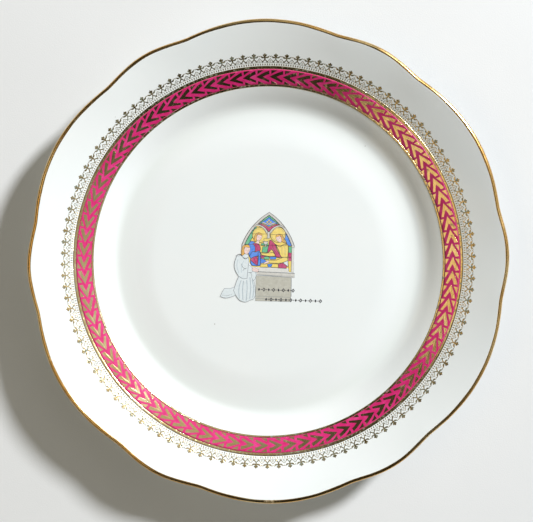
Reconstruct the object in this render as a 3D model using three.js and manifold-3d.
// Souvenir plate: a lobed porcelain plate, 24 cm across, with a gilt rim, an enamel band
// carrying a leaf garland, a lace border and a small printed picture in the well.
// Millimetres, +Z up. The origin is the centre of the foot ring's resting face and
// the picture's top points along +Y. Every applied layer is a thin solid of its own.

import * as THREE from 'three';
import { mergeVertices } from 'three/addons/utils/BufferGeometryUtils.js';
import Module from 'manifold-3d';

const wasm = await Module();
wasm.setup();

// ---- driving dimensions ----

const plateRadius = 120.5; // to the crest of the wide lobes, gilding included
const notchDrop = 2.4; // how far the notches between lobes lie inside plateRadius
const narrowCrestDrop = 0.7; // the narrow lobes stop this far inside plateRadius
const lobePairs = 6; // one narrow and one wide lobe in each
const narrowLobeSpan = THREE.MathUtils.degToRad(22.5);
const outlineTurn = THREE.MathUtils.degToRad(3.75); // the picture sits this far off the lobes
const edgeSink = 0.2; // the rim's edge dips by this share of the drop
const lobingStart = 104; // inside this radius the plate is truly round

const floorHeight = 7.2;
const gutterHeight = 6.2;
const wallThickness = 4.1; // under the cavetto
const rimThickness = 3.2;
const footBottomInner = 70.6;
const footBottomOuter = 72.8;
const recessHeight = 3.1; // underside of the floor, inside the foot ring
const footShoulder = 76; // the foot ring meets the underside here

const gap = 0.1; // clearance between a layer and what it lies on
const skin = 0.25; // thickness of an enamel or printed layer
const gold = 0.35; // thickness of a raised gilt layer

const innerLine = [88.3, 89.2];
const enamel = [89.35, 96.5];
const outerLine = [96.65, 98.0];
const laceBand = [98.7, 99.8];
const laceReach = 104.6;

const leafCount = 84;
const fleurCount = 115;
const turnSteps = 96; // facets round the plate

// ---- the plate's surface ----

// radius, height and slope at each station of the upper surface, from the centre outwards
const topStations = [
  { r: 0, z: floorHeight, slope: 0 },
  { r: 57, z: floorHeight, slope: 0 },
  { r: 75.5, z: gutterHeight, slope: 0 },
  { r: 82, z: 8.3, slope: 0.6 },
  { r: 90, z: 12.6, slope: 0.44 },
  { r: plateRadius, z: 24, slope: 0.33 },
];

function stationSpan(r) {
  const last = topStations.length - 2;
  const index = topStations.findIndex((station, i) => i === last || r < topStations[i + 1].r);
  const from = topStations[index];
  const to = topStations[index + 1];
  const width = to.r - from.r;
  return { from, to, width, t: (r - from.r) / width };
}

// Hermite curve through the stations
function topHeight(r) {
  const { from, to, width, t } = stationSpan(r);
  const startShare = 2 * t ** 3 - 3 * t ** 2 + 1;
  const startPull = t ** 3 - 2 * t ** 2 + t;
  const endPull = t ** 3 - t ** 2;
  const slopes = (startPull * from.slope + endPull * to.slope) * width;
  return startShare * from.z + (1 - startShare) * to.z + slopes;
}

function topSlope(r) {
  const step = 0.01;
  return (topHeight(r + step) - topHeight(r - step)) / (2 * step);
}

// how far the outline lies inside plateRadius at an angle from +X
function lobeDrop(angle) {
  const pairSpan = (2 * Math.PI) / lobePairs;
  const turned = angle - outlineTurn + narrowLobeSpan / 2;
  const along = THREE.MathUtils.euclideanModulo(turned, pairSpan);
  const narrow = along < narrowLobeSpan;
  const span = narrow ? narrowLobeSpan : pairSpan - narrowLobeSpan;
  const start = narrow ? 0 : narrowLobeSpan;
  const across = (2 * (along - start)) / span - 1;
  const crest = Math.max(0, 1 - across ** 2) ** (narrow ? 1.9 : 1.3);
  const rise = narrow ? notchDrop - narrowCrestDrop : notchDrop;
  return notchDrop - rise * crest;
}

// moves every vertex outside lobingStart in with the outline
function lobe(geometry) {
  const places = geometry.getAttribute('position');
  const point = new THREE.Vector3();
  for (let i = 0; i < places.count; i += 1) {
    point.fromBufferAttribute(places, i);
    const radius = Math.hypot(point.x, point.y);
    if (radius > lobingStart) {
      const share = THREE.MathUtils.smoothstep(radius, lobingStart, plateRadius);
      const drop = lobeDrop(Math.atan2(point.y, point.x)) * share;
      const scale = (radius - drop) / radius;
      places.setXYZ(i, point.x * scale, point.y * scale, point.z - edgeSink * drop);
    }
  }
  return geometry;
}

// a profile of (radius, height) points turned about +Z
function turned(profile) {
  const geometry = new THREE.LatheGeometry(profile, turnSteps);
  geometry.rotateX(Math.PI / 2);
  return geometry;
}

// ---- manifold helpers ----

function toSolid(geometry) {
  const bare = geometry.clone();
  bare.deleteAttribute('normal');
  bare.deleteAttribute('uv');
  const merged = mergeVertices(bare, 1e-4);
  const vertProperties = new Float32Array(merged.getAttribute('position').array);
  const triVerts = new Uint32Array(merged.getIndex().array);
  return new wasm.Manifold(new wasm.Mesh({ numProp: 3, vertProperties, triVerts }));
}

function toGeometry(solid) {
  const mesh = solid.getMesh();
  const geometry = new THREE.BufferGeometry();
  geometry.setAttribute('position', new THREE.BufferAttribute(mesh.vertProperties, 3));
  geometry.setIndex(new THREE.BufferAttribute(mesh.triVerts, 1));
  return geometry;
}

// ---- the porcelain body ----

const rimSlope = Math.atan(topSlope(plateRadius - 2));
const lipRadius = rimThickness / 2;
const gildedLip = lipRadius + gap + skin;
const lipCentre = new THREE.Vector2(
  plateRadius - gildedLip,
  topHeight(plateRadius - gildedLip) - lipRadius / Math.cos(rimSlope),
);

// points on a circle about the lip's centre, angles counted from outwards to up
function lipArc(radius, startAngle, endAngle, halfSteps) {
  const arc = new THREE.Path();
  arc.absarc(lipCentre.x, lipCentre.y, radius, startAngle, endAngle, startAngle > endAngle);
  return arc.getPoints(halfSteps);
}

// a point of the underside, square below the upper surface at radius r
function underPoint(r) {
  const tilt = Math.atan(topSlope(r));
  const share = THREE.MathUtils.smoothstep(r, footShoulder, plateRadius);
  const wall = THREE.MathUtils.lerp(wallThickness, rimThickness, share);
  return new THREE.Vector2(r + wall * Math.sin(tilt), topHeight(r) - wall * Math.cos(tilt));
}

function plateBody() {
  const footWall = 0.9; // how far the foot ring's sides lean out over its height
  const easing = 0.35; // bevel round the foot ring's resting face
  const innerFillet = 2.6; // from the foot ring's resting face in to the flat of the recess
  const foot = [
    new THREE.Vector2(0, recessHeight),
    new THREE.Vector2(footBottomInner - innerFillet, recessHeight),
    new THREE.Vector2(footBottomInner - footWall, recessHeight * 0.75),
    new THREE.Vector2(footBottomInner - easing, easing),
    new THREE.Vector2(footBottomInner, 0),
    new THREE.Vector2(footBottomOuter, 0),
    new THREE.Vector2(footBottomOuter + easing, easing),
    new THREE.Vector2(footBottomOuter + footWall, recessHeight / 2),
  ];
  // the radii where the facets of each face meet, closer together where it bends
  const underStops = [footShoulder, 80, 85, 94, lobingStart, 112];
  const topStops = [112, lobingStart, 90, 85, 81.5, 78, 74, 67, 57];
  const lip = lipArc(lipRadius, rimSlope - Math.PI / 2, rimSlope + Math.PI / 2, 3);
  const top = topStops.map((r) => new THREE.Vector2(r, topHeight(r)));
  const centre = new THREE.Vector2(0, floorHeight);
  return lobe(turned([...foot, ...underStops.map(underPoint), ...lip, ...top, centre]));
}

// ---- layers that follow the surface ----

// a thin ring lying on the upper surface, between two radii
function layerRing([inner, outer], lift, thickness) {
  const edge = (r, up) => new THREE.Vector2(r, topHeight(r) + up);
  const loop = [
    edge(inner, lift),
    edge(outer, lift),
    edge(outer, lift + thickness),
    edge(inner, lift + thickness),
    edge(inner, lift),
  ];
  return turned(loop);
}

function rimGilding() {
  const from = THREE.MathUtils.degToRad(-38);
  const to = rimSlope + THREE.MathUtils.degToRad(86);
  const outside = lipArc(gildedLip, from, to, 2);
  const inside = lipArc(lipRadius + gap, to, from, 2);
  return lobe(turned([...outside, ...inside, outside[0]]));
}

// lays a flat shape, extruded about the origin, on the upper surface
function drape(flat, lift, thickness) {
  const geometry = new THREE.ExtrudeGeometry(flat, { depth: thickness, bevelEnabled: false });
  const places = geometry.getAttribute('position');
  for (let i = 0; i < places.count; i += 1) {
    const radius = Math.hypot(places.getX(i), places.getY(i));
    places.setZ(i, places.getZ(i) + topHeight(radius) + lift);
  }
  return geometry;
}

// the points of a motif, bent round the border: [along, out] pairs from the middle radius
function bent(motif, middle, angle) {
  return motif.map(([along, out]) => {
    const at = angle + along / middle;
    return new THREE.Vector2((middle + out) * Math.cos(at), (middle + out) * Math.sin(at));
  });
}

// a motif repeated round the border as one closed outline
function bentRing(motif, middle, count) {
  const outline = [];
  for (let i = 0; i < count; i += 1) {
    outline.push(...bent(motif, middle, (i * 2 * Math.PI) / count));
  }
  return outline;
}

// a chain of leaf pairs pointing anticlockwise, each tip run into the fork of the next
function leafGarland() {
  const middle = (enamel[0] + enamel[1]) / 2;
  const pitch = (2 * Math.PI * middle) / leafCount;
  const spread = 2.8; // from the chain's middle to a leaf's outer corner
  const blade = 1.4; // from the chain's middle to a leaf's inner corner
  const neck = 0.22; // half the chain's width where a tip meets the next fork
  const tipRun = 2; // how far a tip runs past the next pair's outer corners
  const outside = [
    [0, blade],
    [0, spread],
    [pitch + tipRun, neck],
  ];
  const inside = outside.map(([along, out]) => [along, -out]);
  const chain = new THREE.Shape(bentRing(outside, middle, leafCount));
  chain.holes.push(new THREE.Path(bentRing(inside, middle, leafCount)));
  return drape(chain, 2 * gap + skin, gold);
}

// a thread ring with a row of small buds standing outwards from it
function laceBorder() {
  const root = laceBand[1] - 0.4;
  const reach = laceReach - root;
  const bud = [
    [0.6, 0],
    [1.1, reach * 0.6],
    [0, reach],
    [-1.1, reach * 0.6],
    [-0.6, 0],
  ];
  const inset = 0.05; // the buds are this much thinner than the thread, on each face
  const pieces = [layerRing(laceBand, gap, gold)];
  for (let i = 0; i < fleurCount; i += 1) {
    const outline = bent(bud, root, (i * 2 * Math.PI) / fleurCount);
    pieces.push(drape(new THREE.Shape(outline), gap + inset, gold - 2 * inset));
  }
  return toGeometry(wasm.Manifold.union(pieces.map(toSolid)));
}

// ---- the picture on the floor of the well ----

const archCentre = -0.5; // the window's middle, on x
const archHalfWidth = 13.3;
const archSpring = 7.7; // height of the spring line, on y
const archRise = 17.6;
const archSill = -5;

// a pointed arch standing on a straight sill
function pointedArch(middle, halfWidth, spring, rise, sill) {
  const offset = (rise ** 2 - halfWidth ** 2) / (2 * halfWidth);
  const radius = halfWidth + offset;
  const sweep = Math.atan2(rise, offset);
  const arch = new THREE.Path();
  arch.moveTo(middle - halfWidth, sill);
  arch.lineTo(middle + halfWidth, sill);
  arch.absarc(middle - offset, spring, radius, 0, sweep, false);
  arch.absarc(middle + offset, spring, radius, Math.PI - sweep, Math.PI, false);
  arch.closePath();
  return arch;
}

// points without the doubles that touching arcs leave behind
function outlineOf(path) {
  const points = path.getPoints(8);
  const apart = points.filter((p, i) => i === 0 || p.distanceTo(points[i - 1]) > 0.02);
  const closes = apart[0].distanceTo(apart[apart.length - 1]) < 0.02;
  return closes ? apart.slice(0, -1) : apart;
}

function onFloor(shape, level, thickness) {
  const geometry = new THREE.ExtrudeGeometry(shape, { depth: thickness, bevelEnabled: false });
  geometry.translate(0, 0, floorHeight + gap + level * (gap + skin));
  return geometry;
}

function windowPanes() {
  const inset = 0.5;
  const arch = pointedArch(
    archCentre,
    archHalfWidth - inset,
    archSpring,
    archRise - inset,
    archSill + inset,
  );
  return onFloor(new THREE.Shape(outlineOf(arch)), 0, skin);
}

// the stone frame: a pointed arch open at two lights and a small eye above them
function windowTracery() {
  const bar = 1.2;
  const arch = pointedArch(archCentre, archHalfWidth, archSpring, archRise, archSill);
  const lightHalf = archHalfWidth / 2 - bar * 0.75;
  const lightRise = lightHalf * 1.35;
  const eye = [
    [0, archRise - 2.6],
    [-3.4, 10.6],
    [0, 7.6],
    [3.4, 10.6],
  ];
  const openings = [
    new THREE.Shape(eye.map(([x, y]) => new THREE.Vector2(archCentre + x, archSpring + y))),
  ];
  for (const side of [-1, 1]) {
    const middle = archCentre + side * (lightHalf + bar / 2);
    const light = pointedArch(middle, lightHalf, archSpring - 0.5, lightRise, archSill + bar);
    openings.push(new THREE.Shape(outlineOf(light)));
  }
  let frame = toSolid(onFloor(new THREE.Shape(outlineOf(arch)), 1, skin));
  for (const opening of openings) {
    const cutter = onFloor(opening, 1, skin + 2);
    cutter.translate(0, 0, -1);
    frame = frame.subtract(toSolid(cutter));
  }
  return toGeometry(frame);
}

// a stone block under a wider slab
function altar() {
  const slabTop = -5.6;
  const slabBottom = -8;
  const outline = [
    [-4.8, slabTop],
    [-4.8, slabBottom],
    [-5.4, slabBottom - 0.3],
    [-5.8, -20.6],
    [12.6, -20.6],
    [12.6, slabBottom],
    [14, slabBottom],
    [14, slabTop],
  ];
  return onFloor(new THREE.Shape(outline.map(([x, y]) => new THREE.Vector2(x, y))), 0, skin);
}

// a child at prayer in a long robe, seen from the side, the feet trailing to the left
function kneelingChild() {
  const figure = new THREE.Shape();
  figure.moveTo(-13.6, 3.2);
  figure.bezierCurveTo(-14.6, 8.6, -8.4, 9.4, -8.3, 5.2); // hair and head
  figure.bezierCurveTo(-8.3, 3.6, -9.2, 2.4, -10, 1.6); // face down to the neck
  figure.bezierCurveTo(-8.2, 0.6, -8.6, -2.2, -8.8, -3.6); // chest
  figure.bezierCurveTo(-7, -3.4, -5.6, -4.4, -5.2, -5.4); // raised hands
  figure.bezierCurveTo(-5.6, -7.4, -6.4, -9.4, -7.4, -10.2); // hanging sleeve
  figure.bezierCurveTo(-6.6, -14, -6, -17.6, -6.4, -20.4); // front of the robe
  figure.bezierCurveTo(-9.6, -22.4, -13.4, -21.8, -16.2, -20.2); // hem
  figure.bezierCurveTo(-20, -20.4, -22.6, -20.2, -24.2, -19.6); // feet
  figure.bezierCurveTo(-24, -17.6, -22.4, -16.2, -17.2, -15.8);
  figure.bezierCurveTo(-15.6, -12.6, -14.8, -10.4, -15.2, -9); // back of the robe
  figure.bezierCurveTo(-17.8, -4.4, -17.2, 0.6, -13.6, 3.2); // cape and shoulder
  const points = figure.getPoints(4);
  return onFloor(new THREE.Shape(points.slice(0, -1)), 3, skin);
}

// a printed rule strung with lozenges
function lozengeRule(startX, endX, middleY, count) {
  const halfThread = 0.18;
  const halfLozenge = 1;
  const pitch = (endX - startX) / count;
  const upper = [];
  for (let i = 0; i < count; i += 1) {
    const x = startX + (i + 0.5) * pitch;
    upper.push([x - halfLozenge, halfThread]);
    upper.push([x, halfLozenge]);
    upper.push([x + halfLozenge, halfThread]);
  }
  const lower = upper.map(([x, y]) => [x, -y]).reverse();
  const ring = [...lower.reverse(), ...upper.reverse()];
  const outline = ring.map(([x, y]) => new THREE.Vector2(x, middleY + y));
  return onFloor(new THREE.Shape(outline), 1, skin);
}

// ---- assembly ----

const glaze = { color: 0xf1f2ec, roughness: 0.12, metalness: 0 };
const gilt = { color: 0xc79a45, roughness: 0.3, metalness: 0.9 };

const pieces = [
  ['plate_body', plateBody(), glaze],
  ['rim_gilding', rimGilding(), gilt],
  ['enamel_band', layerRing(enamel, gap, skin), { color: 0xb01e5c, roughness: 0.2, metalness: 0 }],
  ['inner_gilt_line', layerRing(innerLine, gap, gold), gilt],
  ['outer_gilt_line', layerRing(outerLine, gap, gold), gilt],
  ['leaf_garland', leafGarland(), gilt],
  ['lace_border', laceBorder(), gilt],
  ['window_panes', windowPanes(), { color: 0xf3d35c, roughness: 0.25, metalness: 0 }],
  ['window_tracery', windowTracery(), { color: 0x8d8883, roughness: 0.3, metalness: 0 }],
  ['altar', altar(), { color: 0xb9b6a8, roughness: 0.3, metalness: 0 }],
  ['kneeling_child', kneelingChild(), { color: 0xe3ecec, roughness: 0.25, metalness: 0 }],
  ['upper_rule', lozengeRule(-4.4, 13.4, -14.2, 6), { color: 0x4b4644, roughness: 0.3, metalness: 0 }],
  ['lower_rule', lozengeRule(-0.6, 27.4, -19.2, 9), { color: 0x4b4644, roughness: 0.3, metalness: 0 }],
];

const plate = new THREE.Group();
for (const [name, geometry, look] of pieces) {
  const mesh = new THREE.Mesh(geometry, new THREE.MeshStandardMaterial(look));
  mesh.name = name;
  plate.add(mesh);
}

export default plate;
